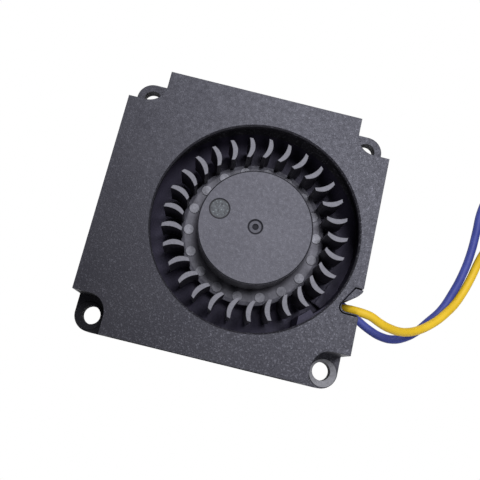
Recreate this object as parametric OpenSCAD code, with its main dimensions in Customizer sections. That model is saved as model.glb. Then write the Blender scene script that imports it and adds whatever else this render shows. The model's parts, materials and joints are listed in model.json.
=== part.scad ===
// DC blower fan, 40 mm square and 10 mm thick, with two leads.
// Origin: centre of the square base, on its underside. +Z points out of the air inlet.
// The outlet faces -Y and the leads leave on the +X side.

/* [Body] */
// Width of the body along X
body_w = 40; // [36:0.2:44]
// Depth of the body along Y
body_d = 40; // [38:0.2:44]
// Height of the body with its cover
body_h = 10; // [9:0.1:12]
// Thickness of the cover plate
cover_t = 1.0; // [0.8:0.1:1.2]
// Thickness of the base plate
floor_t = 1.0; // [0.8:0.1:1.1]
// Thickness of the outer walls at their thinnest
wall_t = 1.0; // [0.8:0.1:1.2]
// Gap between the cover's cable notch and the collar inside it
seam_gap = 0.2; // [0.1:0.05:0.3]

/* [Mounting corners] */
// Distance from a mounting hole's centre to the two nearest sides
hole_edge = 2.5; // [2.4:0.05:2.7]
// Diameter of a mounting hole
hole_d = 2.7; // [2.5:0.1:2.8]
// Diameter of the raised ring round a mounting hole
ring_d = 4.1; // [3.8:0.1:4.4]
// Height of a mounting tab without its ring
tab_h = 2.95; // [2.6:0.05:3.2]
// Height of the raised ring above its tab
ring_h = 0.2; // [0.1:0.05:0.3]
// Distance along X by which the raised ring lies further out than its hole
ring_out_x = 0.3; // [0:0.05:0.35]
// Distance along Y by which the raised ring lies further out than its hole
ring_out_y = 0.2; // [0:0.05:0.35]
// Diameter of the recess under a mounting hole
relief_d = 4; // [3.6:0.1:4.2]
// Depth of the recess under a mounting hole
relief_h = 1.2; // [1:0.1:1.8]
// Radius of the round recess that clears a screw head
pocket_r = 2.7; // [2.6:0.05:2.9]

/* [Air path] */
// Distance from the rotor axis to the +X face
rotor_side = 17.1; // [17:0.1:17.4]
// Diameter of the air inlet
inlet_d = 30.4; // [29.6:0.1:30.8]
// Depth of the chamfer round the inlet
inlet_chamfer = 0.25; // [0.1:0.05:0.4]
// Radius of the spiral wall where it starts behind the tongue
volute_start_r = 14.9; // [14.7:0.1:15.2]
// Distance from the rotor axis to the nose of the tongue
tongue_r = 14.15; // [14.1:0.05:14.4]
// Direction from the rotor axis to the upper edge of the tongue's nose
tongue_angle = -43; // [-45:1:-40]
// Width of the tongue's nose
tongue_w = 2.0; // [1.6:0.1:2.4]

/* [Impeller] */
// Number of blades
blade_count = 29; // [23:1:31]
// Radius at the blades' outer edges
blade_tip_r = 13.6; // [13.2:0.1:13.7]
// Radius at the blades' inner edges
blade_root_r = 10.65; // [10.5:0.05:10.8]
// Angle by which a blade's inner edge leads its outer edge
blade_lead = 3.1; // [2:0.1:5]
// Rise of a blade's middle line over its chord
blade_camber = 0.42; // [0.2:0.02:0.6]
// Thickness of a blade in its middle
blade_t = 0.76; // [0.6:0.02:0.84]
// Thickness of a blade at its edges
blade_edge_t = 0.54; // [0.4:0.02:0.6]
// Height of the blades' lower ends
blade_low_z = 2.3; // [2.2:0.1:2.6]
// Depth of the blades' upper ends below the top of the cover
blade_drop = 0.7; // [0.5:0.05:1]
// Diameter of the hub
hub_d = 16.9; // [16.8:0.1:17.4]
// Depth of the hub's face below the top of the cover
hub_drop = 0.4; // [0.3:0.05:0.6]
// Thickness of the hub's face
hub_top_t = 0.7; // [0.6:0.05:0.8]
// Thickness of the disc that carries the blades
disc_t = 0.5; // [0.4:0.05:0.6]
// Height of the disc's upper face
disc_z = 3.7; // [3.6:0.05:3.9]
// Number of round studs on the disc
stud_count = 18; // [12:1:18]
// Diameter of a stud
stud_d = 1.5; // [1.2:0.1:1.6]
// Height of a stud above the disc
stud_h = 0.15; // [0.1:0.05:0.4]
// Radius of the circle that the studs lie on
stud_r = 9.75; // [9.7:0.05:9.8]
// Diameter of the balance hole in the hub's face
balance_d = 2.95; // [2.6:0.05:3.2]
// Radius at which the balance hole lies
balance_r = 5.85; // [5:0.05:6]
// Direction of the balance hole from the axis
balance_angle = 166.5; // [0:0.5:359.5]

/* [Motor] */
// Diameter of the shaft
shaft_d = 1.5; // [1.4:0.05:1.6]
// Running clearance between shaft and bearing, all round
shaft_gap = 0.02; // [0.01:0.01:0.05]
// Outer diameter of the sleeve bearing
bearing_d = 4.2; // [4:0.1:4.3]
// Outer diameter of the tube that holds the bearing
tube_d = 5.2; // [5.1:0.1:5.4]
// Outer diameter of the steel yoke
yoke_d = 15.4; // [15.2:0.1:15.5]
// Thickness of the yoke's sheet
yoke_t = 0.45; // [0.4:0.05:0.5]
// Radial thickness of the magnet ring
magnet_t = 1.1; // [0.9:0.05:1.15]
// Gap between the magnet ring and the inside of the yoke's top
magnet_gap = 0.65; // [0.5:0.05:0.8]
// Air gap between the magnet and the stator
air_gap = 0.35; // [0.3:0.05:0.5]
// Length by which the magnet ring passes the stator's steel stack at each end
magnet_over = 0.9; // [0.8:0.05:1]
// Width of a stator tooth
tooth_w = 1.7; // [1.5:0.1:1.9]
// Thickness of the wound wire round a tooth
winding_t = 0.6; // [0.5:0.05:0.65]
// Thickness of the plastic insulators
insulator_t = 0.4; // [0.3:0.05:0.45]
// Diameter of the circuit board
board_d = 19.2; // [18.8:0.1:19.4]
// Thickness of the circuit board
board_t = 0.6; // [0.5:0.05:0.7]

/* [Leads] */
// Outer diameter of a lead
lead_d = 1.3; // [1.2:0.05:1.3]
// Length of the connector's housing
plug_l = 9.8; // [9:0.1:11]
// Width of the connector's housing
plug_w = 7.4; // [7:0.1:8]
// Height of the connector's housing
plug_h = 5.7; // [5.4:0.1:6]
// Distance between the connector's two contacts
plug_pitch = 2.5; // [2.3:0.1:2.5]

/* [Hidden] */
$fn = 64;
cut = 1;
far = 30;

// Heights
housing_h = body_h - cover_t;
hub_z = body_h - hub_drop;
blade_z = body_h - blade_drop;
hub_in_z = hub_z - hub_top_t;
disc_low_z = disc_z - disc_t;
board_z = floor_t + 0.3;
board_top = board_z + board_t;

// Mounting corners and the cover's locating pins
hole_x = body_w / 2 - hole_edge;
hole_y = body_d / 2 - hole_edge;
tab_r = hole_edge;
pin_r = 0.8;
pin_gap = 0.05;
pin_boss_r = 1.5;
pin_l = 2;
pin_places = [[7.5 - body_w / 2, body_d / 2 - 2], [body_w / 2 - 6.8, body_d / 2 - 1.8],
    [body_w / 2 - 3.7, -12]];

// Rotor axis, spiral wall and the underside's recess
rotor_x = body_w / 2 - rotor_side;
spiral_steps = 48;
core_sectors = [[27, 78], [106, 160]];
recess_r = 10.5;
recess_depth = 0.15;
tube_boss_r = 3.6;
ledge_w = 1;

// Cable notch of the cover, and the channel and its rounded guide inside it
notch_depth = 3;
notch_low = -9.28;
notch_top = -5.17;
notch_end_r = 1;
notch_slope = 32;
collar_drop = 0.1;
channel_end = [body_w / 2 - 1.85, -8.1];
channel_end_r = lead_d / 2 + 0.17;
guide_centre = [body_w / 2 - 3, -3.9];
guide_r = 3.45;

// Cable tunnel under the floor, from the circuit board to the channel
lead_side = lead_d / 2 + 0.01;
channel_offset = 0.715;
channel_r = norm(channel_end - [rotor_x, 0]);
channel_s = sqrt(pow(channel_r, 2) - pow(channel_offset, 2));
tunnel_angle = atan2(channel_end[1], channel_end[0] - rotor_x) + asin(channel_offset / channel_r);
tunnel_w = 2 * lead_d + 0.3;
tunnel_h = lead_d + 0.1;
tunnel_roof = 0.4;
tunnel_side = 0.6;
tunnel_in = 7.9;
roof_in = board_d / 2 + 0.1;
rise_s = channel_s - 2.95;
rise_h = lead_d + 0.5;
well_s = channel_s - 1.3;
well_h = 4;

// Rotor
hub_r = hub_d / 2;
hub_edge = 0.15;
yoke_r = yoke_d / 2;
yoke_low = disc_low_z + 0.5;
disc_r = blade_root_r + 0.25;
blade_steps = 8;
blade_phase = 6.2;
stud_phase = 9.6;
magnet_out_r = yoke_r - yoke_t;
magnet_in_r = magnet_out_r - magnet_t;
magnet_z = disc_low_z + 0.6;
magnet_h = hub_in_z - yoke_t - magnet_gap - magnet_z;
boss_r = 1.6;
gate_r = 1.05;
gate_hole_r = 0.45;
gate_depth = 0.15;
gate_hole_depth = 0.4;
balance_depth = 0.45;
putty_drop = 0.08;

// Bearing
tube_r = tube_d / 2;
bearing_r = bearing_d / 2;
shaft_r = shaft_d / 2;
tube_low = 0.2;
tube_top = hub_in_z - yoke_t - 0.9;
tube_floor = 0.6;
pad_t = 0.4;
pad_low = tube_low + tube_floor;
pad_top = pad_low + pad_t;
shaft_low = pad_top + 0.05;
clip_z = shaft_low + 0.35;
clip_t = 0.25;
clip_r = 1.35;
groove_r = shaft_r - 0.2;
clip_slot = 0.8;
seal_t = 0.3;
seal_gap = 0.1;
bearing_low = clip_z + clip_t + 0.25;
bearing_top = tube_top - seal_t;
boss_low = tube_top + 0.35;

// Stator
stator_r = magnet_in_r - air_gap;
stack_h = magnet_h - 2 * magnet_over;
stack_z = magnet_z + magnet_over + 0.05;
stack_top = stack_z + stack_h;
tooth_count = 4;
tooth_phase = 45;
shoe_t = 0.8;
shoe_half = 37;
core_r = tube_r + 0.7;
neck_out_r = stator_r - shoe_t;
lip_t = 0.3;
lip_h = insulator_t + 0.45;
wind_in_r = core_r + 0.2;
wind_out_r = sqrt(pow(neck_out_r, 2) - pow(tooth_w / 2 + winding_t, 2)) - 0.05;
pin_wire_r = 0.25;
pin_at_r = tube_r + 0.4;

// Parts on the circuit board
ic_size = [1.6, 2.9, 1.0];
ic_at = [6.9, 80];
capacitor_size = [1.25, 2, 0.8];
capacitor_at = [6.8, 150];
resistor_size = [0.8, 1.6, 0.45];
resistor_at = [6.8, 215];
leg_w = 0.4;
leg_l = 0.5;
leg_t = 0.15;
wire_s = 8.4;
wire_r = 0.25;
solder_r = 0.6;
solder_top_r = 0.3;
solder_h = 0.5;

// Coils and connector; X is measured from the +X face
coil_at = [body_w / 2 + 29.4, 12.5];
coil_mid_r = 9.1;
coil_turns_across = 2.25;
coil_out_r = coil_mid_r + lead_d / 2;
coil_in_r = coil_mid_r - coil_turns_across * lead_d - lead_d / 2;
coil_h = 2 * lead_d;
tie_t = 0.3;
tie_angle = -107;
tie_span = 17;
plug_at = [body_w / 2 + 38.9, -1.5];
plug_wire_z = plug_h / 2;
contact_w = 1.9;
contact_in = 1;
latch_w = 2.6;
latch_l = 4;
latch_t = 0.6;

// Route of the leads: first along the tunnel, then with X measured from the +X face
lead_sides = 8;
lead_z = lead_d / 2 + 0.01;
lead_s = 9.8;
bend_r = 3;
exit_z = body_h - 2;
exit_turn = -5;
yellow_path = concat(
    [for (s = [lead_s, 11.4, 13]) tunnel_point(s, -1, lead_z)],
    [for (a = [0 : 30 : 90])
        tunnel_point(channel_s - bend_r * (1 - sin(a)), -1, lead_z + bend_r * (1 - cos(a)))],
    [for (a = [0 : 30 : 90])
        tunnel_point(channel_s, -1, exit_z - bend_r * (1 - sin(a)))
        + bend_r * (1 - cos(a)) * [cos(exit_turn), sin(exit_turn), 0]],
    from_face([
    [2.3, -8.5, 7.9], [3.4, -8.9, 7.6], [4.5, -9.2, 7.1], [5.9, -9.35, 6.3],
    [7.3, -9.3, 5.3], [8.7, -9.0, 4.4], [10.0, -8.5, 3.65], [11.3, -7.75, 3.0],
    [12.5, -6.85, 2.5], [13.65, -5.8, 2.1], [14.85, -4.4, 1.7], [16.0, -2.85, 1.25],
    [17.05, -0.8, 0.95], [18.0, 1.75, 0.85], [18.8, 5.1, 1.4], [19.35, 7.4, 2.6],
    [19.75, 9.3, 3.55], [20.1, 11.0, 3.6], [20.3, 12.5, 3.55]]));
blue_path = concat(
    [for (s = [lead_s : 2.2 : 18.6]) tunnel_point(s, 1, lead_z)],
    from_face([
    [1.9, -8.6, 0.66], [3.9, -9.6, 0.66], [5.9, -10.2, 0.66], [7.85, -10.15, 0.66],
    [9.55, -9.4, 0.66], [11.05, -8.2, 0.66], [12.65, -6.25, 0.66], [14.3, -4.05, 0.66],
    [15.65, -1.0, 0.66], [16.75, 2.3, 0.66], [17.5, 5.95, 0.66], [17.85, 9.65, 0.66],
    [18.05, 12.95, 0.66], [18.8, 15.8, 0.7], [20.2, 18.0, 0.8], [22.1, 19.2, 0.9],
    [24.2, 19.95, 0.95]]));
yellow_tail = from_face([
    [38.5, 12.5, 4.85], [38.6, 10.0, 4.7], [39.0, 7.0, 4.2], [39.6, 4.0, 3.6],
    [40.0, 1.0, 3.1], [40.15, -1.5, 2.85], [40.15, -2.5, 2.85]]);
blue_tail = from_face([
    [38.5, 12.5, 2.25], [38.4, 10.0, 2.25], [38.2, 7.0, 2.25], [37.9, 4.0, 2.4],
    [37.7, 1.0, 2.7], [37.65, -1.5, 2.85], [37.65, -2.5, 2.85]]);

// Colours
plastic = [0.27, 0.27, 0.3];
steel = [0.66, 0.67, 0.69];
brass = [0.8, 0.66, 0.36];
copper = [0.75, 0.42, 0.22];
white = [0.93, 0.93, 0.9];
yellow = [0.78, 0.6, 0.12];
blue = [0.25, 0.28, 0.55];

// A point in the tunnel: its distance from the rotor axis, its side and its height.
function tunnel_point(s, side, z) = [
    rotor_x + s * cos(tunnel_angle) - side * lead_side * sin(tunnel_angle),
    s * sin(tunnel_angle) + side * lead_side * cos(tunnel_angle),
    z];

// Points whose X is measured from the +X face.
function from_face(points) = [for (p = points) p + [body_w / 2, 0, 0]];

// Radius of the spiral wall: from the tongue it grows until it meets each outer wall in turn.
function volute_r(angle) = lookup(angle, [
    [tongue_angle, volute_start_r],
    [0, body_w / 2 - rotor_x - wall_t],
    [90, body_d / 2 - wall_t],
    [180, body_w / 2 + rotor_x - wall_t]]);

// Places its children on the rotor axis.
module at_rotor() {
    translate([rotor_x, 0, 0])
        children();
}

// Places its children at a radius and a direction from the rotor axis, at a height.
module at_polar(place, z) {
    at_rotor()
        rotate(place[1])
            translate([place[0], 0, z])
                children();
}

// A washer or tube between two heights.
module tube(outer_r, inner_r, low, high) {
    translate([0, 0, low])
        difference() {
            cylinder(r = outer_r, h = high - low);
            translate([0, 0, -cut])
                cylinder(r = inner_r, h = high - low + 2 * cut);
        }
}

// A block that is centred in X and Y and stands on Z = 0.
module block(size) {
    translate([-size[0] / 2, -size[1] / 2, 0])
        cube(size);
}

// The four mounting holes, each with its own corner towards local +X +Y.
module at_corners() {
    for (turn = [0 : 90 : 270])
        translate([hole_x * sign(cos(turn + 45)), hole_y * sign(sin(turn + 45))])
            rotate(turn)
                children();
}

// The recess at a corner, open outwards, with the given radius round the hole.
module pocket_2d(r) {
    circle(r = r);
    translate([-r, 0])
        square([r + far, far]);
    translate([0, -r])
        square([far, r + far]);
}

// The square with round corners that the base plate and the tabs follow.
module plate_2d() {
    square([body_w - 2 * tab_r, body_d], center = true);
    square([body_w, body_d - 2 * tab_r], center = true);
    for (sx = [-1, 1], sy = [-1, 1])
        translate([sx * (body_w / 2 - tab_r), sy * (body_d / 2 - tab_r)])
            circle(r = tab_r);
}

// The outline of walls and cover, drawn in by an inset.
module outline_2d(inset) {
    difference() {
        square([body_w - 2 * inset, body_d - 2 * inset], center = true);
        at_corners()
            pocket_2d(pocket_r + inset);
    }
}

// The spiral part of the air space, grown outwards by a wall.
module spiral_2d(grow) {
    points = [for (i = [0 : spiral_steps])
        let (a = tongue_angle + (180 - tongue_angle) * i / spiral_steps)
        (volute_r(a) + grow) * [cos(a), sin(a)]];
    at_rotor()
        polygon(concat([[0, 0]], points));
}

// The whole air space: the rotor's circle, the spiral, and the duct down to the outlet.
module air_2d() {
    left_x = wall_t - body_w / 2;
    duct_x = hole_x - pocket_r - wall_t;
    nose_angle = tongue_angle - tongue_w / tongue_r * 180 / PI;
    nose = [rotor_x, 0] + tongue_r * [cos(nose_angle), sin(nose_angle)];
    at_rotor()
        circle(r = tongue_r);
    spiral_2d(0);
    difference() {
        polygon([[rotor_x, 0], [left_x, 0], [left_x, -far], [duct_x, -far],
            [duct_x, -hole_y], nose - [0, tongue_w], nose]);
        at_corners()
            pocket_2d(pocket_r + wall_t);
    }
}

// The hollow between the spiral wall and the outer walls at one corner.
module core_2d(sector) {
    difference() {
        intersection() {
            outline_2d(wall_t);
            at_rotor()
                polygon([[0, 0],
                    far * [cos(sector[0]), sin(sector[0])],
                    2 * far * [cos((sector[0] + sector[1]) / 2), sin((sector[0] + sector[1]) / 2)],
                    far * [cos(sector[1]), sin(sector[1])]]);
        }
        spiral_2d(wall_t);
        for (place = pin_places)
            translate(place)
                circle(r = pin_boss_r);
    }
}

// The cable notch at the +X face, drawn in by a gap.
module notch_2d(gap) {
    end_r = notch_end_r - gap;
    centre = [body_w / 2 - notch_depth + notch_end_r, notch_low + notch_end_r];
    corner = centre + end_r * [-cos(notch_slope), sin(notch_slope)];
    top = notch_top - gap;
    translate(centre)
        circle(r = end_r);
    polygon([centre - [0, end_r],
        [body_w / 2 + cut, centre[1] - end_r],
        [body_w / 2 + cut, top],
        [corner[0] + (top - corner[1]) * tan(notch_slope), top],
        corner]);
}

// The channel inside the notch, open at the side, with a rounded guide above it.
module channel_2d() {
    translate(channel_end)
        circle(r = channel_end_r);
    difference() {
        polygon([channel_end - [0, channel_end_r],
            [body_w / 2 + cut, channel_end[1] - channel_end_r],
            [body_w / 2 + cut, guide_centre[1]],
            channel_end + [0, channel_end_r]]);
        translate(guide_centre)
            circle(r = guide_r);
    }
}

// A bar along the tunnel, between two distances from the rotor axis.
module along_tunnel(from, to, w, low, high) {
    at_rotor()
        rotate(tunnel_angle)
            translate([from, -w / 2, low])
                cube([to - from, w, high - low]);
}

// One crescent blade, its outer edge on local +X and its convex side facing clockwise.
module blade_2d() {
    root = blade_root_r * [cos(blade_lead), sin(blade_lead)];
    chord = [blade_tip_r, 0] - root;
    side = [chord[1], -chord[0]] / norm(chord);
    steps = [for (i = [0 : blade_steps]) i / blade_steps];
    front = [for (t = steps) root + t * chord + side * (4 * t * (1 - t)
        * (blade_camber + (blade_t - blade_edge_t) / 2) + blade_edge_t / 2)];
    back = [for (t = steps) root + (1 - t) * chord + side * (4 * t * (1 - t)
        * (blade_camber - (blade_t - blade_edge_t) / 2) - blade_edge_t / 2)];
    polygon(concat(front, back));
}

// Unit vector along a path at one of its points.
function heading(path, i) =
    let (v = path[min(i + 1, len(path) - 1)] - path[max(i - 1, 0)])
    v / norm(v);

// The part of a vector that is square to a heading, at unit length.
function square_to(v, along) =
    let (w = v - (v * along) * along)
    w / norm(w);

// A round lead swept along a path of points.
module lead_tube(path) {
    last = len(path) - 1;
    sides = lead_sides;
    across = [for (i = 0, v = square_to([0, 0, 1], heading(path, 0)); i <= last;
        i = i + 1, v = square_to(v, heading(path, min(i, last)))) v];
    points = [for (i = [0 : last], k = [0 : sides - 1])
        let (a = 360 * k / sides)
        path[i] + lead_d / 2 * (cos(a) * across[i] + sin(a) * cross(heading(path, i), across[i]))];
    walls = [for (i = [0 : last - 1], k = [0 : sides - 1])
        let (a = i * sides + k, b = i * sides + (k + 1) % sides)
        each [[a, a + sides, b], [b, a + sides, b + sides]]];
    ends = [[for (k = [0 : sides - 1]) k], [for (k = [sides - 1 : -1 : 0]) last * sides + k]];
    polyhedron(points = points, faces = concat(walls, ends), convexity = 8);
}

// A block of coiled lead between two heights.
module coil_ring(low) {
    translate(coil_at)
        rotate_extrude()
            translate([coil_in_r, low])
                square([coil_out_r - coil_in_r, coil_h]);
}

// A rectangular coil of wire round one tooth, which points along +X.
module winding(number) {
    hole = [tooth_w, stack_h + 2 * insulator_t];
    at_rotor()
        rotate(tooth_phase + number * 360 / tooth_count)
            translate([wind_in_r, 0, stack_z + stack_h / 2])
                rotate([90, 0, 90])
                    linear_extrude(wind_out_r - wind_in_r)
                        difference() {
                            square(hole + 2 * [winding_t, winding_t], center = true);
                            square(hole, center = true);
                        }
}

// The outline shared by the steel stack and its insulators, up to a radius.
module stator_2d(reach) {
    difference() {
        union() {
            circle(r = core_r);
            for (i = [0 : tooth_count - 1])
                rotate(tooth_phase + i * 360 / tooth_count)
                    translate([0, -tooth_w / 2])
                        square([reach, tooth_w]);
        }
        circle(r = tube_r);
    }
}

// The shoes at the ends of the teeth, over a part of their thickness.
module shoes_2d(thickness) {
    for (i = [0 : tooth_count - 1])
        rotate(tooth_phase + i * 360 / tooth_count)
            intersection() {
                difference() {
                    circle(r = neck_out_r + thickness);
                    circle(r = neck_out_r);
                }
                polygon([[0, 0], stator_r * [2, -2 * tan(shoe_half)],
                    stator_r * [2, 2 * tan(shoe_half)]]);
            }
}

// Housing with floor, spiral wall, tongue, mounting tabs, cable tunnel and channel.
module base_housing() {
    color(plastic)
        difference() {
            union() {
                linear_extrude(floor_t)
                    plate_2d();
                linear_extrude(tab_h)
                    intersection() {
                        plate_2d();
                        at_corners()
                            pocket_2d(pocket_r);
                    }
                for (sx = [-1, 1], sy = [-1, 1])
                    translate([sx * (hole_x + ring_out_x), sy * (hole_y + ring_out_y), relief_h])
                        cylinder(r = ring_d / 2, h = tab_h + ring_h - relief_h);
                linear_extrude(housing_h)
                    difference() {
                        outline_2d(0);
                        air_2d();
                    }
                linear_extrude(body_h - collar_drop)
                    intersection() {
                        notch_2d(seam_gap);
                        outline_2d(0);
                    }
                at_rotor() {
                    cylinder(r = tube_boss_r, h = board_z);
                    tube(board_d / 2, board_d / 2 - ledge_w, 0, board_z);
                }
                along_tunnel(roof_in, channel_s, tunnel_w + 2 * tunnel_side, 0,
                    tunnel_h + tunnel_roof);
                along_tunnel(rise_s - tunnel_roof, channel_s, tunnel_w + 2 * tunnel_side, 0,
                    rise_h + tunnel_roof);
            }
            at_corners()
                translate([0, 0, -cut]) {
                    cylinder(r = hole_d / 2, h = body_h);
                    cylinder(r = relief_d / 2, h = relief_h + cut);
                }
            for (place = pin_places)
                translate([place[0], place[1], housing_h - pin_l - pin_gap])
                    cylinder(r = pin_r + pin_gap, h = pin_l + cut);
            for (sector = core_sectors)
                translate([0, 0, floor_t])
                    linear_extrude(body_h)
                        core_2d(sector);
            translate([0, 0, -cut])
                linear_extrude(body_h + 2 * cut)
                    channel_2d();
            along_tunnel(tunnel_in, far, tunnel_w, -cut, tunnel_h);
            along_tunnel(rise_s, far, tunnel_w, -cut, rise_h);
            along_tunnel(well_s, far, tunnel_w, -cut, well_h);
            at_rotor() {
                translate([0, 0, -cut])
                    cylinder(r = tube_r, h = board_z + 2 * cut);
                translate([0, 0, -cut])
                    cylinder(r = recess_r, h = recess_depth + cut);
            }
        }
}

// Flat cover with the air inlet, the cable notch and three locating pins.
module top_cover() {
    color(plastic) {
        difference() {
            translate([0, 0, housing_h])
                linear_extrude(cover_t)
                    difference() {
                        outline_2d(0);
                        notch_2d(0);
                    }
            at_rotor() {
                translate([0, 0, housing_h - cut])
                    cylinder(r = inlet_d / 2, h = cover_t + 2 * cut);
                translate([0, 0, body_h - inlet_chamfer])
                    cylinder(r1 = inlet_d / 2, r2 = inlet_d / 2 + 2 * inlet_chamfer,
                        h = 2 * inlet_chamfer);
            }
        }
        for (place = pin_places)
            translate([place[0], place[1], housing_h - pin_l])
                cylinder(r = pin_r, h = pin_l + cover_t / 2);
    }
}

// Hub, carrying disc with its studs, and the ring of blades.
module impeller() {
    color(plastic)
        at_rotor() {
            difference() {
                union() {
                    translate([0, 0, disc_low_z])
                        cylinder(r = hub_r, h = hub_z - hub_edge - disc_low_z);
                    translate([0, 0, hub_z - hub_edge])
                        cylinder(r1 = hub_r, r2 = hub_r - hub_edge, h = hub_edge);
                    translate([0, 0, disc_low_z])
                        cylinder(r = disc_r, h = disc_t);
                    for (i = [0 : stud_count - 1])
                        rotate(stud_phase + i * 360 / stud_count)
                            translate([stud_r, 0, disc_low_z])
                                cylinder(r = stud_d / 2, h = disc_t + stud_h);
                }
                translate([0, 0, disc_low_z - cut])
                    cylinder(r = yoke_r, h = hub_in_z - disc_low_z + cut);
                translate([0, 0, hub_z - gate_depth])
                    cylinder(r = gate_r, h = gate_depth + cut);
                translate([0, 0, hub_z - gate_hole_depth])
                    cylinder(r = gate_hole_r, h = gate_hole_depth + cut);
                rotate(balance_angle)
                    translate([balance_r, 0, hub_z - balance_depth])
                        cylinder(r = balance_d / 2, h = balance_depth + cut);
            }
            for (i = [0 : blade_count - 1])
                rotate(blade_phase + i * 360 / blade_count)
                    translate([0, 0, blade_low_z])
                        linear_extrude(blade_z - blade_low_z)
                            blade_2d();
        }
}

// Balancing putty that fills the blind hole in the hub's face.
module balance_putty() {
    color([0.45, 0.47, 0.42])
        at_polar([balance_r, balance_angle], hub_z - balance_depth)
            cylinder(r = balance_d / 2, h = balance_depth - putty_drop);
}

// Steel cup inside the hub.
module rotor_yoke() {
    color(steel)
        at_rotor() {
            tube(yoke_r, magnet_out_r, yoke_low, hub_in_z);
            tube(yoke_r - yoke_t / 2, boss_r, hub_in_z - yoke_t, hub_in_z);
        }
}

// Ring magnet inside the yoke.
module magnet_ring() {
    color([0.2, 0.18, 0.17])
        at_rotor()
            tube(magnet_out_r, magnet_in_r, magnet_z, magnet_z + magnet_h);
}

// Shaft with a groove for the retaining clip.
module shaft() {
    color(steel)
        at_rotor()
            difference() {
                translate([0, 0, shaft_low])
                    cylinder(r = shaft_r, h = hub_in_z - shaft_low);
                tube(2 * shaft_r, groove_r, clip_z, clip_z + clip_t);
            }
}

// Brass boss that joins the shaft to the yoke.
module shaft_boss() {
    color(brass)
        at_rotor()
            tube(boss_r, shaft_r, boss_low, hub_in_z);
}

// Split plastic washer that keeps the shaft in its bearing.
module retaining_clip() {
    color(white)
        at_rotor()
            difference() {
                tube(clip_r, groove_r, clip_z, clip_z + clip_t);
                translate([0, -clip_slot / 2, clip_z - cut])
                    cube([2 * clip_r, clip_slot, clip_t + 2 * cut]);
            }
}

// Brass tube, closed below, that holds the bearing and carries the stator.
module bearing_tube() {
    color(brass)
        at_rotor() {
            tube(tube_r, bearing_r, tube_low, tube_top);
            translate([0, 0, tube_low])
                cylinder(r = (tube_r + bearing_r) / 2, h = tube_floor);
        }
}

// Sleeve bearing that the shaft turns in.
module sleeve_bearing() {
    color([0.6, 0.46, 0.3])
        at_rotor()
            tube(bearing_r, shaft_r + shaft_gap, bearing_low, bearing_top);
}

// Washer that keeps the oil in.
module oil_seal() {
    color(white)
        at_rotor()
            tube(bearing_r, shaft_r + seal_gap, bearing_top, tube_top);
}

// Pad that the shaft's end runs on.
module thrust_pad() {
    color([0.85, 0.83, 0.75])
        at_rotor()
            translate([0, 0, pad_low])
                cylinder(r = bearing_r, h = pad_t);
}

// Steel stack with four teeth.
module stator_core() {
    color([0.5, 0.52, 0.55])
        at_rotor()
            translate([0, 0, stack_z])
                linear_extrude(stack_h) {
                    stator_2d(neck_out_r + shoe_t / 2);
                    shoes_2d(shoe_t);
                }
}

// Insulator above or below the stack, with lips that hold the windings.
module insulator(low, lip_low) {
    translate([0, 0, low])
        linear_extrude(insulator_t) {
            stator_2d(neck_out_r + lip_t / 2);
            shoes_2d(lip_t);
        }
    translate([0, 0, lip_low])
        linear_extrude(lip_h)
            shoes_2d(lip_t);
}

// Insulator on top of the steel stack.
module upper_insulator() {
    color(white)
        at_rotor()
            insulator(stack_top, stack_top);
}

// Insulator under the steel stack.
module lower_insulator() {
    color(white)
        at_rotor()
            insulator(stack_z - insulator_t, stack_z - lip_h);
}

// Winding round the first tooth.
module winding_1() {
    color(copper)
        winding(0);
}

// Winding round the second tooth.
module winding_2() {
    color(copper)
        winding(1);
}

// Winding round the third tooth.
module winding_3() {
    color(copper)
        winding(2);
}

// Winding round the fourth tooth.
module winding_4() {
    color(copper)
        winding(3);
}

// Pins that carry the windings' ends down to the circuit board.
module winding_pins() {
    color(steel)
        for (i = [0 : tooth_count - 1])
            at_polar([pin_at_r, i * 360 / tooth_count], board_z)
                cylinder(r = pin_wire_r, h = stack_z - insulator_t - board_z);
}

// Ring-shaped circuit board with holes for pins and leads.
module circuit_board() {
    color([0.1, 0.35, 0.2])
        difference() {
            at_rotor()
                tube(board_d / 2, tube_r, board_z, board_top);
            for (i = [0 : tooth_count - 1])
                at_polar([pin_at_r, i * 360 / tooth_count], 0)
                    cylinder(r = pin_wire_r, h = body_h);
            for (side = [-1, 1])
                translate(tunnel_point(wire_s, side, 0))
                    cylinder(r = wire_r, h = body_h);
        }
}

// Driver chip with its three legs.
module driver_ic() {
    color([0.12, 0.12, 0.12])
        at_polar(ic_at, board_top) {
            block(ic_size);
            for (leg = [[-1, 0], [1, -1], [1, 1]])
                translate([leg[0] * (ic_size[0] + leg_l) / 2, leg[1] * ic_size[1] / 3, 0])
                    block([leg_l + leg_t, leg_w, leg_t]);
        }
}

// Chip capacitor.
module chip_capacitor() {
    color([0.6, 0.5, 0.4])
        at_polar(capacitor_at, board_top)
            block(capacitor_size);
}

// Chip resistor.
module chip_resistor() {
    color([0.15, 0.15, 0.16])
        at_polar(resistor_at, board_top)
            block(resistor_size);
}

// Stripped ends of the leads, bent up through the circuit board.
module lead_conductors() {
    color(copper)
        for (side = [-1, 1])
            translate(tunnel_point(wire_s, side, lead_z)) {
                cylinder(r = wire_r, h = board_top - lead_z);
                sphere(r = wire_r);
                rotate([0, 0, tunnel_angle])
                    rotate([0, 90, 0])
                        cylinder(r = wire_r, h = lead_s - wire_s);
            }
}

// Solder on the circuit board over each lead.
module solder_joints() {
    color([0.75, 0.76, 0.78])
        for (side = [-1, 1])
            translate(tunnel_point(wire_s, side, board_top))
                cylinder(r1 = solder_r, r2 = solder_top_r, h = solder_h);
}

// Yellow lead from the circuit board to its coil.
module yellow_lead() {
    color(yellow)
        lead_tube(yellow_path);
}

// Blue lead from the circuit board to its coil.
module blue_lead() {
    color(blue)
        lead_tube(blue_path);
}

// Coiled part of the yellow lead.
module yellow_lead_coil() {
    color(yellow)
        coil_ring(tie_t + coil_h);
}

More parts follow.
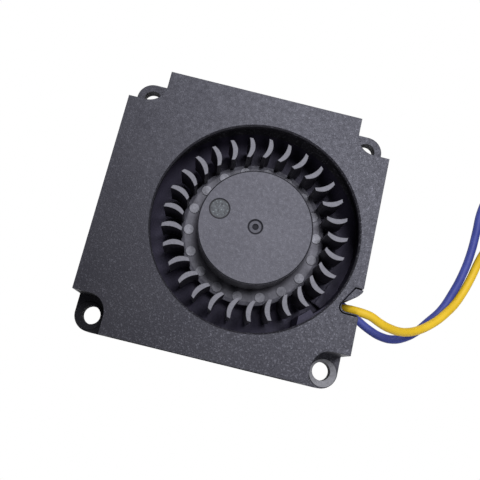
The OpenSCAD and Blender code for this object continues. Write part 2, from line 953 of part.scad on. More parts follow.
// Coiled part of the blue lead.
module blue_lead_coil() {
    color(blue)
        coil_ring(tie_t);
}

// Yellow lead from its coil to the connector.
module yellow_lead_tail() {
    color(yellow)
        lead_tube(yellow_tail);
}

// Blue lead from its coil to the connector.
module blue_lead_tail() {
    color(blue)
        lead_tube(blue_tail);
}

// Strap round both coils.
module coil_tie() {
    color(white)
        translate(coil_at)
            rotate(tie_angle)
                rotate_extrude(angle = tie_span)
                    difference() {
                        translate([coil_in_r - tie_t, 0])
                            square([coil_out_r - coil_in_r + 2 * tie_t, 2 * coil_h + 2 * tie_t]);
                        translate([coil_in_r, tie_t])
                            square([coil_out_r - coil_in_r, 2 * coil_h]);
                    }
}

// Two-way connector housing with open cavities and a latch.
module connector_housing() {
    color(white)
        translate([plug_at[0], plug_at[1], 0]) {
            difference() {
                translate([-plug_w / 2, -plug_l, 0])
                    cube([plug_w, plug_l, plug_h]);
                for (side = [-1, 1])
                    translate([side * plug_pitch / 2 - contact_w / 2, -plug_l - cut,
                        plug_wire_z - contact_w / 2])
                        cube([contact_w, plug_l + 2 * cut, contact_w]);
                for (side = [-1, 1])
                    translate([side * plug_w / 2, -plug_l / 2, 0])
                        block([2 * latch_t, latch_l, plug_h / 3]);
                translate([0, -latch_l / 2, plug_h - latch_t])
                    block([latch_w, latch_l + cut, 2 * latch_t]);
            }
        }
}

// Crimp contacts inside the connector.
module crimp_contacts() {
    color(brass)
        for (side = [-1, 1])
            translate([plug_at[0] + side * plug_pitch / 2, plug_at[1] - plug_l / 2,
                plug_wire_z - contact_w / 2])
                difference() {
                    block([contact_w, plug_l - 2 * contact_in, contact_w]);
                    translate([0, -plug_l / 2, contact_w / 4])
                        block([contact_w / 2, plug_l, contact_w / 2]);
                }
}

base_housing();
top_cover();
impeller();
balance_putty();
rotor_yoke();
magnet_ring();
shaft();
shaft_boss();
retaining_clip();
bearing_tube();
sleeve_bearing();
oil_seal();
thrust_pad();
stator_core();
upper_insulator();
lower_insulator();
winding_1();
winding_2();
winding_3();
winding_4();
winding_pins();
circuit_board();
driver_ic();
chip_capacitor();
chip_resistor();
lead_conductors();
solder_joints();
yellow_lead();
blue_lead();
yellow_lead_coil();
blue_lead_coil();
yellow_lead_tail();
blue_lead_tail();
coil_tie();
connector_housing();
crimp_contacts();
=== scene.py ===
"""DC blower fan: finishes, leads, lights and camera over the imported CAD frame."""
import json
import math

import bpy
from mathutils import Matrix, Vector


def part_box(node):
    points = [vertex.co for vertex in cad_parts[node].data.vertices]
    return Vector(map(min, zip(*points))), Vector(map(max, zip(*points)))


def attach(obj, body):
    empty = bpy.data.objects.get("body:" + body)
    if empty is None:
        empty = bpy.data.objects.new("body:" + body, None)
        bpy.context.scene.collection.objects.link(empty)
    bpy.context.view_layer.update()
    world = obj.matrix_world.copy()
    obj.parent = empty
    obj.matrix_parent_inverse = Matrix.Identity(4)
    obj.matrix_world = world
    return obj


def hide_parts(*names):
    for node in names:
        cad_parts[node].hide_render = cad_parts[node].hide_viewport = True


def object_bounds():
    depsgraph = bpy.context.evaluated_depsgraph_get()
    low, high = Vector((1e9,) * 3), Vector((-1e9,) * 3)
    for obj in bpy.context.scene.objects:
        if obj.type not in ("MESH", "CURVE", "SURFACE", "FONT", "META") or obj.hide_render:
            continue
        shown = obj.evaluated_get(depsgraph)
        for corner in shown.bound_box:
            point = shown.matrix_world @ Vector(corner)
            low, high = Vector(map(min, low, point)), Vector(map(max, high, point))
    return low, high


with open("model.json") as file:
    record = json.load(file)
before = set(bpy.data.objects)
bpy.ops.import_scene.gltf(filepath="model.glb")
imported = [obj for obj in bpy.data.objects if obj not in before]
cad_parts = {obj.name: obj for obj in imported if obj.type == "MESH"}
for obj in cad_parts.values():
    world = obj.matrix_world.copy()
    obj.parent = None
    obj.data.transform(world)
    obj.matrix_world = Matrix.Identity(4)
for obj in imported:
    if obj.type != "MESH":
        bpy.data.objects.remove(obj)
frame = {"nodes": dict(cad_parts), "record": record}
nodes = frame["nodes"]
MM = 0.001

cad_low, cad_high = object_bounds()


def upright(node):
    """Axis and radius of a round, upright CAD node, taken from its box."""
    low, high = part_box(node)
    return Vector(((low.x + high.x) / 2, (low.y + high.y) / 2, 0)), (high.x - low.x) / 2


AXIS = upright("impeller")[0]
PUTTY_AXIS, PUTTY_R = upright("balance_putty")
FACE_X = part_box("base_housing")[1].x / MM
TOP_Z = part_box("top_cover")[1].z / MM

# Heights and radii, in mm, that the materials follow.
BLADE_Z = TOP_Z - 0.7
STUD_Z = TOP_Z - 6.15
RING_Z = 3.15
DISC_Z = 4
HUB_FACE_Z = 9.3
BLADE_ROOT_R = 10.4
HUB_R = 8.36
DUCT_R = 17

holes = next(m for m in frame["record"]["mounts"] if m["name"] == "mounting_holes")["dims"]
HOLE_X, HOLE_Y = holes["spacing_x_mm"] / 2 * MM, holes["spacing_y_mm"] / 2 * MM
HOLE_R = holes["hole_r_mm"] * MM


# ---------------------------------------------------------------- camera

CAMERA_AT = Vector((-0.487, -21.556, 110.258)) * MM
CAMERA_RIGHT = Vector((0.97094, 0.23173, 0.05988))
CAMERA_BACK = Vector((-0.00467, -0.23177, 0.97276))
LENS_MM = 53.31
SHIFT_UP = -0.0708


def make_camera():
    data = bpy.data.cameras.new("camera")
    data.lens = LENS_MM
    data.sensor_width = 36
    data.shift_y = SHIFT_UP
    data.clip_start, data.clip_end = 0.01, 5
    camera = bpy.data.objects.new("camera", data)
    back = CAMERA_BACK.normalized()
    right = (CAMERA_RIGHT - CAMERA_RIGHT.dot(back) * back).normalized()
    up = back.cross(right)
    turn = Matrix((right, up, back)).transposed()
    camera.matrix_world = Matrix.Translation(CAMERA_AT) @ turn.to_4x4()
    bpy.context.scene.collection.objects.link(camera)
    bpy.context.scene.camera = camera


make_camera()


# ---------------------------------------------------------------- leads

LEAD_D = 1.3
LEAD_Z = LEAD_D / 2 + 0.01
LEAD_S = 9.8
LEAD_SIDE = LEAD_D / 2 + 0.01
BEND_R = 3
EXIT_Z = 8
EXIT_TURN = math.radians(-5)
CHANNEL_X, CHANNEL_Y = FACE_X - 1.85, -8.1
CHANNEL_OFFSET = 0.715
COIL_X, COIL_Y = FACE_X + 29.4, 12.5
COIL_R = 9.1
COIL_LOW = 0.3
COIL_INWARDS = 2.25
LAYER_CHANGE = 0.3
STEPS_PER_TURN = 16


def tunnel():
    """Distance from the rotor axis to the channel, and the tunnel's direction in radians."""
    x, y = CHANNEL_X - AXIS.x / MM, CHANNEL_Y
    reach = math.hypot(x, y)
    along = math.sqrt(reach ** 2 - CHANNEL_OFFSET ** 2)
    return along, math.atan2(y, x) + math.asin(CHANNEL_OFFSET / reach)


CHANNEL_S, TUNNEL_ANGLE = tunnel()


def tunnel_point(s, side, z):
    """A point in the tunnel: its distance from the rotor axis, its side and its height."""
    c, d = math.cos(TUNNEL_ANGLE), math.sin(TUNNEL_ANGLE)
    return Vector((AXIS.x / MM + s * c - side * LEAD_SIDE * d, s * d + side * LEAD_SIDE * c, z))


def from_face(points):
    """Points whose X is measured from the body's +X face."""
    return [Vector((FACE_X + x, y, z)) for x, y, z in points]


def coil(start_angle, turns, low_z):
    """A lead wound clockwise in two layers: inwards below, then back outwards above.

    It moves inwards by COIL_INWARDS lead widths and changes layer within LAYER_CHANGE turns.
    """
    count = round(turns * STEPS_PER_TURN)
    points = []
    for i in range(count + 1):
        t = i / count * turns
        half = turns / 2
        r = COIL_R - LEAD_D * min(t, turns - t) * (COIL_INWARDS / half)
        rise = min(1, max(0, (t - half) / LAYER_CHANGE + 0.5))
        z = low_z + LEAD_D / 2 + LEAD_D * rise
        a = math.radians(start_angle) - 2 * math.pi * t
        points.append(Vector((COIL_X + r * math.cos(a), COIL_Y + r * math.sin(a), z)))
    return points


def yellow_route():
    """Through the tunnel, up the channel at its end, out of the notch and down to the coil."""
    quarter = [math.radians(a) for a in (0, 30, 60, 90)]
    inside = [tunnel_point(s, -1, LEAD_Z) for s in (LEAD_S, 11.4, 13)]
    rise = [tunnel_point(CHANNEL_S - BEND_R * (1 - math.sin(a)), -1,
                         LEAD_Z + BEND_R * (1 - math.cos(a))) for a in quarter]
    outwards = Vector((math.cos(EXIT_TURN), math.sin(EXIT_TURN), 0))
    leave = [tunnel_point(CHANNEL_S, -1, EXIT_Z - BEND_R * (1 - math.sin(a)))
             + BEND_R * (1 - math.cos(a)) * outwards for a in quarter]
    free = from_face([
        (2.3, -8.5, 7.9), (3.4, -8.9, 7.6), (4.5, -9.2, 7.1), (5.9, -9.35, 6.3),
        (7.3, -9.3, 5.3), (8.7, -9.0, 4.4), (10.0, -8.5, 3.65), (11.3, -7.75, 3.0),
        (12.5, -6.85, 2.5), (13.65, -5.8, 2.1), (14.85, -4.4, 1.7), (16.0, -2.85, 1.25),
        (17.05, -0.8, 0.95), (18.0, 1.75, 0.85), (18.8, 5.1, 1.4), (19.35, 7.4, 2.6),
        (19.75, 9.3, 3.55), (20.1, 11.0, 3.6)])
    tail = from_face([
        (38.6, 10.0, 4.7), (39.0, 7.0, 4.2), (39.6, 4.0, 3.6), (40.0, 1.0, 3.1),
        (40.15, -1.5, 2.85), (40.15, -2.5, 2.85)])
    upper = coil(start_angle=180, turns=4.5, low_z=COIL_LOW + 2 * LEAD_D)
    return inside + rise + leave + free + upper + tail


def blue_route():
    """Straight out of the tunnel along the floor, to the coil."""
    inside = [tunnel_point(LEAD_S + 2.2 * i, 1, LEAD_Z) for i in range(5)]
    free = from_face([
        (1.9, -8.6, 0.66), (3.9, -9.6, 0.66), (5.9, -10.2, 0.66), (7.85, -10.15, 0.66),
        (9.55, -9.4, 0.66), (11.05, -8.2, 0.66), (12.65, -6.25, 0.66), (14.3, -4.05, 0.66),
        (15.65, -1.0, 0.66), (16.75, 2.3, 0.66), (17.5, 5.95, 0.66), (17.85, 9.65, 0.66),
        (18.05, 12.95, 0.66), (18.8, 15.8, 0.7), (20.2, 18.0, 0.8), (22.1, 19.2, 0.9)])
    tail = from_face([
        (38.4, 10.0, 2.25), (38.2, 7.0, 2.25), (37.9, 4.0, 2.4), (37.7, 1.0, 2.7),
        (37.65, -1.5, 2.85), (37.65, -2.5, 2.85)])
    lower = coil(start_angle=124.9, turns=1565 / 360, low_z=COIL_LOW)
    return inside + free + lower + tail


def make_lead(name, route):
    """One insulated lead as a single smooth curve that stands for its three CAD solids."""
    data = bpy.data.curves.new(name, "CURVE")
    data.dimensions = "3D"
    data.bevel_depth = 1
    data.bevel_resolution = 5
    data.resolution_u = 5
    data.use_fill_caps = True
    spline = data.splines.new("BEZIER")
    spline.bezier_points.add(len(route) - 1)
    for point, co in zip(spline.bezier_points, route):
        point.co = co * MM
        point.handle_left_type = point.handle_right_type = "AUTO"
        point.radius = LEAD_D / 2 * MM
    lead = bpy.data.objects.new(name, data)
    bpy.context.scene.collection.objects.link(lead)
    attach(lead, "housing")
    colour = name.split("_")[0]
    solids = [colour + "_lead", colour + "_lead_coil", colour + "_lead_tail"]
    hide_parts(*solids)
    return lead


yellow_wire = make_lead("yellow_wire", yellow_route())
blue_wire = make_lead("blue_wire", blue_route())


# ---------------------------------------------------------------- materials

class Shader:
    """A small builder for one node material; every input is a constant or another node's output."""

    def __init__(self, name):
        self.material = bpy.data.materials.new(name)
        self.material.use_nodes = True
        self.tree = self.material.node_tree
        self.tree.nodes.clear()
        self.output = self.add("ShaderNodeOutputMaterial")
        self.surface = self.add("ShaderNodeBsdfPrincipled")
        self.link(self.surface.outputs[0], self.output.inputs["Surface"])
        self.place = self.add("ShaderNodeTexCoord").outputs["Object"]

    def add(self, kind, **settings):
        node = self.tree.nodes.new(kind)
        for key, value in settings.items():
            setattr(node, key, value)
        return node

    def link(self, source, target):
        self.tree.links.new(source, target)

    def put(self, socket, value):
        """Sets a socket to a constant or links another socket to it."""
        if isinstance(value, bpy.types.NodeSocket):
            self.link(value, socket)
        else:
            socket.default_value = value

    def noise(self, size_mm, detail=2.0, roughness=0.5, stretch=(1, 1, 1)):
        """Noise from 0 to 1 whose grains are about size_mm across."""
        mapping = self.add("ShaderNodeMapping")
        mapping.inputs["Scale"].default_value = stretch
        self.link(self.place, mapping.inputs["Vector"])
        node = self.add("ShaderNodeTexNoise")
        self.link(mapping.outputs[0], node.inputs["Vector"])
        node.inputs["Scale"].default_value = 1 / (size_mm * MM)
        node.inputs["Detail"].default_value = detail
        node.inputs["Roughness"].default_value = roughness
        return node.outputs["Fac"]

    def ramp(self, value, low_in, high_in, low_out=0.0, high_out=1.0):
        node = self.add("ShaderNodeMapRange")
        self.put(node.inputs["Value"], value)
        node.inputs["From Min"].default_value = low_in
        node.inputs["From Max"].default_value = high_in
        node.inputs["To Min"].default_value = low_out
        node.inputs["To Max"].default_value = high_out
        return node.outputs["Result"]

    def maths(self, operation, a, b=0.0):
        node = self.add("ShaderNodeMath", operation=operation)
        self.put(node.inputs[0], a)
        self.put(node.inputs[1], b)
        return node.outputs[0]

    def mix(self, factor, a, b):
        """Mixes two colours, each a tuple or a socket."""
        node = self.add("ShaderNodeMix", data_type="RGBA")
        self.put(node.inputs["Factor"], factor)
        self.put(node.inputs["A"], (*a, 1) if isinstance(a, tuple) else a)
        self.put(node.inputs["B"], (*b, 1) if isinstance(b, tuple) else b)
        return node.outputs["Result"]

    def height(self):
        split = self.add("ShaderNodeSeparateXYZ")
        self.link(self.place, split.inputs[0])
        return split.outputs["Z"]

    def round_edges(self, radius_mm):
        """Rounds sharp edges for the light, and gives how far each point is on such an edge."""
        bevel = self.add("ShaderNodeBevel", samples=6)
        bevel.inputs["Radius"].default_value = radius_mm * MM
        flat = self.add("ShaderNodeNewGeometry").outputs["True Normal"]
        dot = self.add("ShaderNodeVectorMath", operation="DOT_PRODUCT")
        self.link(bevel.outputs[0], dot.inputs[0])
        self.link(flat, dot.inputs[1])
        return bevel.outputs[0], self.ramp(dot.outputs["Value"], 0.995, 0.8)

    def edge_share(self, radius_mm):
        """1 on sharp edges, fading to 0 at the given distance from them."""
        return self.round_edges(radius_mm)[1]

    def bump(self, height, depth_mm, strength, normal=None):
        node = self.add("ShaderNodeBump")
        node.inputs["Strength"].default_value = strength
        node.inputs["Distance"].default_value = depth_mm * MM
        self.put(node.inputs["Height"], height)
        if normal is not None:
            self.link(normal, node.inputs["Normal"])
        return node.outputs[0]

    def painted_crevice_shade(self, colour):
        """Painted shade: darkens a colour in seams, steps and corners, where little light gets in.
        """
        node = self.add("ShaderNodeAmbientOcclusion", samples=8)
        node.inputs["Distance"].default_value = SHADE_REACH * MM
        closed = self.ramp(node.outputs["AO"], 0.85, 0.4, 0, 0.75)
        return self.mix(closed, colour, (0.003, 0.003, 0.004))

    def axis_distance(self, x, y, place=None):
        """Distance of a point, by default the shaded one, from an upright axis."""
        node = self.add("ShaderNodeVectorMath", operation="MULTIPLY_ADD")
        self.link(place or self.place, node.inputs[0])
        node.inputs[1].default_value = (1, 1, 0)
        node.inputs[2].default_value = (-x, -y, 0)
        length = self.add("ShaderNodeVectorMath", operation="LENGTH")
        self.link(node.outputs[0], length.inputs[0])
        return length.outputs["Value"]

    def along(self, x, y):
        """How far a point lies from the origin in one level direction."""
        node = self.add("ShaderNodeVectorMath", operation="DOT_PRODUCT")
        self.link(self.place, node.inputs[0])
        node.inputs[1].default_value = Vector((x, y, 0)).normalized()
        return node.outputs["Value"]

    def hole_distance(self, x, y):
        """Distance of a point from the nearest of four upright axes at plus and minus x and y."""
        folded = self.add("ShaderNodeVectorMath", operation="ABSOLUTE")
        self.link(self.place, folded.inputs[0])
        return self.axis_distance(x, y, folded.outputs[0])

    def band(self, value, low_mm, high_mm, soft_mm=0.03):
        """1 where a length lies between two limits, and 0 outside them."""
        rise = self.ramp(value, (low_mm - soft_mm) * MM, low_mm * MM)
        fall = self.ramp(value, (high_mm + soft_mm) * MM, high_mm * MM)
        return self.maths("MULTIPLY", rise, fall)

    def finish(self, colour, roughness, normal, metallic=0.0, specular=0.5, tint=(1, 1, 1)):
        """Feeds the surface and gives the finished material."""
        inputs = self.surface.inputs
        self.put(inputs["Base Color"], colour)
        self.put(inputs["Roughness"], roughness)
        self.put(inputs["Normal"], normal)
        inputs["Metallic"].default_value = metallic
        inputs["Specular Tint"].default_value = (*tint, 1)
        self.put(inputs["Specular IOR Level"], specular)
        return self.material


# SHEEN tints the plastics' reflections blue: the lamps' blue cast painted into the sheen.
SHEEN = (0.84, 0.85, 1)
EDGE_MM = 0.08
# Reach of the painted crevice shade, in mm.
SHADE_REACH = 0.3


def spark_plastic(s, dark, light, speck_colour, roughness=0.42):
    """Colour, roughness and normal of moulded plastic with a coarse grain and light specks; the
    specks are painted stronger towards +X as painted glint, and seams and corners get painted
    shade.
    """
    colour = s.mix(s.ramp(s.noise(8, 3), 0.35, 0.65), dark, light)
    # Painted glint: the specks grow stronger towards +X.
    painted_glint_gradient = s.ramp(s.along(1, -0.2), -12 * MM, 16 * MM, 0.35, 0.85)
    speck = s.ramp(s.noise(0.22, 2, 0.7), 0.56, 0.68)
    colour = s.mix(s.maths("MULTIPLY", speck, painted_glint_gradient), colour, speck_colour)
    normal, edge = s.round_edges(EDGE_MM)
    colour = s.mix(s.maths("MULTIPLY", edge, 0.3), colour, speck_colour)
    grain = s.maths("ADD", s.noise(0.22, 3, 0.75), s.maths("MULTIPLY", s.noise(0.7, 2), 0.4))
    rough = s.ramp(s.noise(0.6, 3), 0.3, 0.7, roughness - 0.05, roughness + 0.06)
    return s.painted_crevice_shade(colour), rough, s.bump(grain, 0.036, 0.7, normal)


def sheen_level(s):
    """Specular level of the plastic: raised towards the +X +Y corner as painted sheen, and lowered
    in its pits, more so towards +X as painted glint.
    """
    # Painted glint: the pits' dullness grows towards +X.
    painted_glint_gradient = s.ramp(s.along(1, -0.2), -8 * MM, 16 * MM, 0.1, 0.6)
    pit = s.maths("MULTIPLY", s.ramp(s.noise(0.25, 2, 0.7), 0.46, 0.36), painted_glint_gradient)
    # Painted sheen: the level rises towards the +X +Y corner.
    level = s.ramp(s.along(1, 0.7), -24 * MM, 20 * MM, 0.12, 0.285)
    return s.maths("MULTIPLY", level, s.ramp(pit, 0, 1, 1, 0.3))


def case_material(name, dark, light, speck_colour):
    """The cover's plastic: the case's grain and sheen alone."""
    s = Shader(name)
    colour, rough, normal = spark_plastic(s, dark, light, speck_colour)
    return s.finish(colour, rough, normal, specular=sheen_level(s), tint=SHEEN)


def housing_material(name, dark, light, speck_colour):
    """The case's plastic, with pale hole walls, one hole ring painted pale as a painted highlight,
    painted shade in the -X -Y corner and painted shade in the duct.
    """
    s = Shader(name)
    colour, rough, normal = spark_plastic(s, dark, light, speck_colour)
    r, z = s.axis_distance(AXIS.x, AXIS.y), s.height()
    hole = s.hole_distance(HOLE_X, HOLE_Y)
    ring = s.band(z, RING_Z - 0.03, RING_Z + 0.03)
    # Painted highlight: the hole ring on the +X -Y side painted pale, as if lit.
    painted_highlight = s.maths("MULTIPLY", ring, s.ramp(s.along(1, -1), 10 * MM, 12 * MM))
    pale = s.mix(s.noise(0.4, 3, 0.7), (0.07, 0.07, 0.074), (0.21, 0.21, 0.22))
    colour = s.mix(s.maths("MULTIPLY", painted_highlight, 0.85), colour, pale)
    bore = s.ramp(hole, HOLE_R + 0.03 * MM, HOLE_R + 0.01 * MM)
    colour = s.mix(bore, colour, (0.06, 0.06, 0.064))
    # Painted shade: the -X -Y corner darkened below the cover's top, where the body's wall shades
    # it.
    painted_corner_shade = s.maths("MULTIPLY", s.ramp(s.along(-1, -1), 18 * MM, 22 * MM),
                   s.ramp(z, 9.5 * MM, 9 * MM))
    colour = s.mix(s.maths("MULTIPLY", painted_corner_shade, 0.7), colour, (0.003, 0.003, 0.003))
    # Painted shade: the duct inside the housing darkened below the cover's top.
    inside = s.maths("MULTIPLY", s.ramp(r, DUCT_R * MM, (DUCT_R - 0.2) * MM),
                     s.ramp(z, 9.3 * MM, 9.1 * MM))
    colour = s.mix(inside, colour, (0.017, 0.015, 0.026))
    # Painted shade also takes sheen away.
    dull = s.maths("MAXIMUM", inside, painted_corner_shade)
    level = s.maths("MULTIPLY", sheen_level(s), s.ramp(dull, 0, 1, 1, 0.35))
    return s.finish(colour, rough, normal, specular=level, tint=SHEEN)


def impeller_material(name, dark, light, speck_colour):
    """The impeller's plastic: blade ends and stud tops painted pale as painted highlight and glint,
    painted shade on the flanks, round the hub's foot and in the gate, a floor painted lighter as
    painted light, dark moulding lines.
    """
    s = Shader(name)
    colour, rough, normal = spark_plastic(s, dark, light, speck_colour, 0.48)
    r, z = s.axis_distance(AXIS.x, AXIS.y), s.height()
    on_face = s.ramp(z, 9 * MM, HUB_FACE_Z * MM)
    blades = s.ramp(r, (BLADE_ROOT_R - 0.2) * MM, BLADE_ROOT_R * MM)
    # Painted shade: the blade flanks below their ends darkened.
    painted_flank_shade = s.maths("MULTIPLY", blades, s.ramp(z, BLADE_Z * MM, (BLADE_Z - 0.1) * MM))
    colour = s.mix(s.maths("MULTIPLY", painted_flank_shade, 0.85), colour, (0.009, 0.008, 0.012))
    # Painted light: the ring floor painted lighter, though it lies deep between hub and blades.
    floor = s.maths("MULTIPLY", s.ramp(r, BLADE_ROOT_R * MM, (BLADE_ROOT_R - 0.2) * MM),
                    s.ramp(z, (DISC_Z + 0.2) * MM, DISC_Z * MM))
    colour = s.mix(s.maths("MULTIPLY", floor, 0.6), colour, (0.075, 0.073, 0.083))
    # Painted shadow: the ring floor darkened round the hub's foot.
    painted_hub_shadow = s.maths("MULTIPLY", floor, s.ramp(r, 9.4 * MM, 8.6 * MM))
    colour = s.mix(s.maths("MULTIPLY", painted_hub_shadow, 0.85), colour, (0.01, 0.009, 0.012))
    # Painted highlight: the blade ends painted pale where they face the light.
    ends = s.maths("MULTIPLY", blades, s.ramp(z, (BLADE_Z - 0.06) * MM, (BLADE_Z - 0.02) * MM))
    painted_highlight = s.mix(s.noise(0.3, 3, 0.75), (0.03, 0.03, 0.034), (0.15, 0.148, 0.165))
    colour = s.mix(s.maths("MULTIPLY", ends, 0.9), colour, painted_highlight)
    # Painted glint: the stud tops painted pale, some more than others at random.
    painted_glint = s.mix(s.noise(0.4, 3, 0.7), (0.05, 0.05, 0.056), (0.27, 0.27, 0.3))
    studs = s.band(z, STUD_Z - 0.02, STUD_Z + 0.02)
    keep = s.ramp(s.noise(3, 1), 0.35, 0.6, 0.5, 0.98)
    colour = s.mix(s.maths("MULTIPLY", studs, keep), colour, painted_glint)
    rim = s.maths("MULTIPLY", s.band(r, HUB_R - 0.09, HUB_R, 0.05), on_face)
    # The gate's rim line, and its centre hole darkened as painted shade.
    gate = s.maths("MAXIMUM", s.band(r, 0.9, 1.12, 0.06), s.ramp(r, 0.5 * MM, 0.4 * MM))
    putty, edge = s.axis_distance(PUTTY_AXIS.x, PUTTY_AXIS.y), PUTTY_R / MM
    seam = s.maths("MULTIPLY", s.band(putty, edge - 0.1, edge + 0.07, 0.06), on_face)
    lines = s.maths("MAXIMUM", rim, s.maths("MAXIMUM", seam, gate))
    colour = s.mix(s.maths("MULTIPLY", lines, 0.85), colour, (0.006, 0.006, 0.008))
    # Painted shade in the gate's recess.
    colour = s.mix(s.ramp(r, 0.95 * MM, 0.85 * MM, 0, 0.4), colour, (0.01, 0.01, 0.012))
    outline = s.maths("MULTIPLY", ends, s.edge_share(0.13))
    colour = s.mix(s.maths("MULTIPLY", outline, 0.85), colour, (0.012, 0.011, 0.015))
    # Lines, blade outlines and the painted hub shadow get less sheen.
    dull = s.maths("MAXIMUM", lines, s.maths("MULTIPLY", outline, 0.7))
    dull = s.maths("MAXIMUM", dull, s.maths("MULTIPLY", painted_hub_shadow, 0.8))
    return s.finish(colour, rough, normal, specular=s.ramp(dull, 0, 1, 0.25, 0.04), tint=SHEEN)


def insulation(name, colour, pale):
    """Extruded lead insulation: satin, with a faint grain, a few darker scuffs and a slightly
    uneven colour.
    """
    s = Shader(name)
    base = s.mix(s.ramp(s.noise(2.5, 3), 0.3, 0.7), colour, pale)
    scuff = s.ramp(s.noise(0.5, 4, 0.7), 0.6, 0.75)
    base = s.mix(s.maths("MULTIPLY", scuff, 0.25), base, tuple(0.7 * c for c in colour))
    roughness = s.ramp(s.noise(0.8, 2), 0.3, 0.7, 0.48, 0.6)
    return s.finish(base, roughness, s.bump(s.noise(0.25, 3), 0.02, 0.5), specular=0.2)


def metal(name, colour, dark, roughness, lines=(1, 1, 1)):
    """Metal with drawn or turned lines and slight tarnish."""
    s = Shader(name)
    stain = s.ramp(s.noise(1.5, 4, 0.6), 0.45, 0.75)
    base = s.mix(stain, colour, dark)
    normal = s.round_edges(0.05)[0]
    normal = s.bump(s.noise(0.08, 2, 0.6, lines), 0.01, 0.6, normal)
    rough = s.ramp(s.noise(0.4, 2), 0.3, 0.7, roughness - 0.08, roughness + 0.08)
    return s.finish(base, rough, normal, metallic=1.0)


def moulded(name, colour, dark, roughness, grain_mm=0.3):
    """Plain moulded or pressed material with a fine grain and a few darker marks."""
    s = Shader(name)
    mark = s.ramp(s.noise(1.2, 4, 0.65), 0.5, 0.8)
    base = s.mix(mark, colour, dark)
    normal, edge = s.round_edges(EDGE_MM)
    base = s.mix(s.maths("MULTIPLY", edge, 0.3), base, tuple(min(1, 1.25 * c) for c in colour))
    normal = s.bump(s.noise(grain_mm, 3), 0.02, 0.5, normal)
    rough = s.ramp(s.noise(0.6, 2), 0.3, 0.7, roughness - 0.06, roughness + 0.08)
    return s.finish(base, rough, normal)


def putty_material():
    """Grey balancing putty, full of pale and dark grains, with a dark gap round it."""
    s = Shader("putty")
    grains = s.ramp(s.noise(0.4, 3, 0.7), 0.35, 0.65)
    base = s.mix(grains, (0.024, 0.026, 0.031), (0.055, 0.06, 0.068))
    base = s.mix(s.ramp(s.noise(0.3, 2, 0.8), 0.56, 0.68), base, (0.13, 0.15, 0.16))
    base = s.mix(s.ramp(s.noise(0.36, 2, 0.7), 0.42, 0.3), base, (0.012, 0.013, 0.016))
    r = s.axis_distance(PUTTY_AXIS.x, PUTTY_AXIS.y)
    base = s.mix(s.ramp(r, PUTTY_R - 0.2 * MM, PUTTY_R - 0.1 * MM), base, (0.006, 0.006, 0.008))
    return s.finish(base, 0.6, s.bump(s.noise(0.3, 3, 0.7), 0.06, 0.9), specular=0.25)


def wound_wire(name):
    """Enamelled copper wire laid turn by turn."""
    s = Shader(name)
    wave = s.add("ShaderNodeTexWave", wave_type="BANDS", bands_direction="DIAGONAL")
    s.link(s.place, wave.inputs["Vector"])
    wave.inputs["Scale"].default_value = 1 / (0.6 * MM)
    wave.inputs["Distortion"].default_value = 0.6
    base = s.mix(wave.outputs["Fac"], (0.28, 0.09, 0.03), (0.62, 0.26, 0.1))
    return s.finish(base, 0.32, s.bump(wave.outputs["Fac"], 0.06, 0.8), metallic=0.8)


def board_material():
    """Green solder mask over faint copper tracks."""
    s = Shader("board")
    cells = s.add("ShaderNodeTexVoronoi", feature="DISTANCE_TO_EDGE")
    s.link(s.place, cells.inputs["Vector"])
    cells.inputs["Scale"].default_value = 1 / (1.6 * MM)
    track = s.ramp(cells.outputs["Distance"], 0.1, 0.14)
    base = s.mix(track, (0.012, 0.07, 0.03), (0.02, 0.13, 0.055))
    return s.finish(base, 0.3, s.bump(track, 0.03, 0.5), specular=0.5)


def paint(materials):
    """Gives each CAD node its material; a node that is not named here stops the script."""
    for node, made in materials.items():
        slots = nodes[node].data.materials
        slots.clear()
        slots.append(made)
    missing = sorted(set(nodes) - set(materials))
    assert not missing, missing


CASE = (0.009, 0.0085, 0.011), (0.012, 0.0115, 0.014), (0.085, 0.085, 0.1)
housing_plastic = housing_material("housing_plastic", *CASE)
cover_plastic = case_material("cover_plastic", *CASE)
impeller_plastic = impeller_material("impeller_plastic", (0.036, 0.035, 0.041),
                                     (0.044, 0.043, 0.05), (0.08, 0.08, 0.092))
steel = metal("zinc_steel", (0.55, 0.56, 0.58), (0.35, 0.35, 0.36), 0.35)
stack_steel = metal("stack_steel", (0.32, 0.33, 0.35), (0.2, 0.2, 0.21), 0.42, (1, 1, 12))
brass = metal("turned_brass", (0.68, 0.5, 0.2), (0.45, 0.31, 0.12), 0.28, (1, 1, 8))
bronze = metal("sintered_bronze", (0.42, 0.27, 0.13), (0.2, 0.13, 0.07), 0.5)
tin = metal("bright_tin", (0.72, 0.73, 0.75), (0.5, 0.5, 0.52), 0.25)
copper = metal("bare_copper", (0.75, 0.34, 0.18), (0.4, 0.17, 0.09), 0.3, (12, 1, 1))
ferrite = moulded("bonded_ferrite", (0.045, 0.042, 0.04), (0.02, 0.02, 0.02), 0.6, 0.2)
nylon = moulded("natural_nylon", (0.46, 0.44, 0.38), (0.36, 0.34, 0.28), 0.45)
connector_plastic = moulded("connector_plastic", (0.5, 0.48, 0.43), (0.4, 0.38, 0.33), 0.4)
chip_black = moulded("chip_black", (0.02, 0.02, 0.022), (0.012, 0.012, 0.012), 0.45, 0.1)
chip_brown = moulded("chip_brown", (0.3, 0.2, 0.12), (0.2, 0.13, 0.08), 0.5, 0.1)
winding_copper = wound_wire("winding_copper")
yellow = insulation("yellow_insulation", (0.42, 0.27, 0.008), (0.47, 0.31, 0.014))
blue = insulation("blue_insulation", (0.022, 0.03, 0.155), (0.032, 0.042, 0.19))

for wire, made in ((yellow_wire, yellow), (blue_wire, blue)):
    wire.data.materials.append(made)

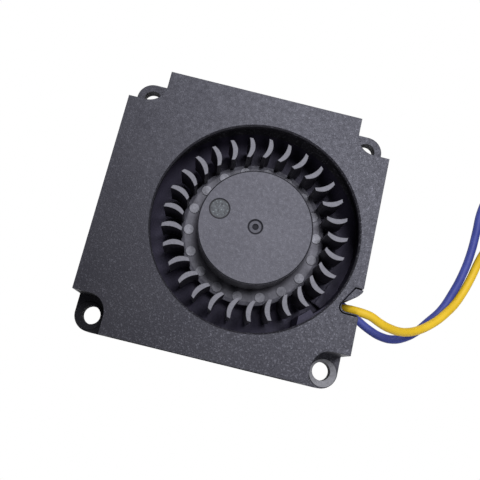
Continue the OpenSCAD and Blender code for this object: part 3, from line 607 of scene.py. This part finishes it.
paint({
    "base_housing": housing_plastic, "top_cover": cover_plastic, "impeller": impeller_plastic,
    "balance_putty": putty_material(), "rotor_yoke": steel, "magnet_ring": ferrite,
    "shaft": steel, "shaft_boss": brass, "retaining_clip": nylon, "bearing_tube": brass,
    "sleeve_bearing": bronze, "oil_seal": nylon, "thrust_pad": nylon, "stator_core": stack_steel,
    "upper_insulator": nylon, "lower_insulator": nylon, "winding_1": winding_copper,
    "winding_2": winding_copper, "winding_3": winding_copper, "winding_4": winding_copper,
    "winding_pins": tin, "circuit_board": board_material(), "driver_ic": chip_black,
    "chip_capacitor": chip_brown, "chip_resistor": chip_black, "lead_conductors": copper,
    "solder_joints": tin, "coil_tie": nylon, "connector_housing": connector_plastic,
    "crimp_contacts": tin, "yellow_lead": yellow, "yellow_lead_coil": yellow,
    "yellow_lead_tail": yellow, "blue_lead": blue, "blue_lead_coil": blue,
    "blue_lead_tail": blue,
})


# ---------------------------------------------------------------- stage and lights

def white_to_camera(tree, shader):
    """Shows plain white to the camera and through clear material, and the shader to the rest."""
    path = tree.nodes.new("ShaderNodeLightPath")
    seen = tree.nodes.new("ShaderNodeMath")
    seen.operation = "MAXIMUM"
    tree.links.new(path.outputs["Is Camera Ray"], seen.inputs[0])
    tree.links.new(path.outputs["Is Transmission Ray"], seen.inputs[1])
    bright = tree.nodes.new("ShaderNodeEmission")
    bright.inputs["Strength"].default_value = 1
    mix = tree.nodes.new("ShaderNodeMixShader")
    tree.links.new(seen.outputs[0], mix.inputs[0])
    tree.links.new(shader, mix.inputs[1])
    tree.links.new(bright.outputs[0], mix.inputs[2])
    return mix.outputs[0]


FLOOR_HALF = 1.5
FLOOR_GREY = 0.62
WORLD_LEVEL = 0.36
LIGHT_SIZE = 110
LIGHT_TARGET = Vector((5, 0, 5)) * MM
LIGHT_COLOUR = (0.98, 0.98, 1)


def make_floor():
    """A plain floor a hair below the part, so that the two never share a plane."""
    mesh = bpy.data.meshes.new("floor")
    z, h = cad_low.z - 0.02 * MM, FLOOR_HALF
    mesh.from_pydata([(-h, -h, z), (h, -h, z), (h, h, z), (-h, h, z)], [], [(0, 1, 2, 3)])
    floor = bpy.data.objects.new("floor", mesh)
    bpy.context.scene.collection.objects.link(floor)
    material = bpy.data.materials.new("floor")
    material.use_nodes = True
    tree = material.node_tree
    surface = tree.nodes["Principled BSDF"]
    surface.inputs["Base Color"].default_value = (FLOOR_GREY, FLOOR_GREY, FLOOR_GREY, 1)
    surface.inputs["Roughness"].default_value = 0.9
    out = tree.nodes["Material Output"]
    tree.links.new(white_to_camera(tree, surface.outputs[0]), out.inputs["Surface"])
    mesh.materials.append(material)


def make_world():
    world = bpy.data.worlds.new("world")
    bpy.context.scene.world = world
    world.use_nodes = True
    tree = world.node_tree
    sky = tree.nodes["Background"]
    sky.inputs["Color"].default_value = (0.93, 0.95, 1, 1)
    sky.inputs["Strength"].default_value = WORLD_LEVEL
    out = tree.nodes["World Output"]
    tree.links.new(white_to_camera(tree, sky.outputs[0]), out.inputs["Surface"])


def area_light(name, place_mm, watts):
    """A round soft light that faces the part."""
    data = bpy.data.lights.new(name, "AREA")
    data.shape = "DISK"
    data.size = LIGHT_SIZE * MM
    data.energy = watts
    data.color = LIGHT_COLOUR
    light = bpy.data.objects.new(name, data)
    place = Vector(place_mm) * MM
    light.location = place
    light.rotation_euler = (LIGHT_TARGET - place).to_track_quat("-Z", "Y").to_euler()
    bpy.context.scene.collection.objects.link(light)


make_floor()
make_world()
area_light("key", (-24, 164, 364), 1.06)
area_light("front", (40, -197, 351), 0.5)
area_light("side", (81, 75, 385), 1.22)

bpy.context.scene.view_settings.view_transform = "Standard"
bpy.context.scene.view_settings.look = "None"
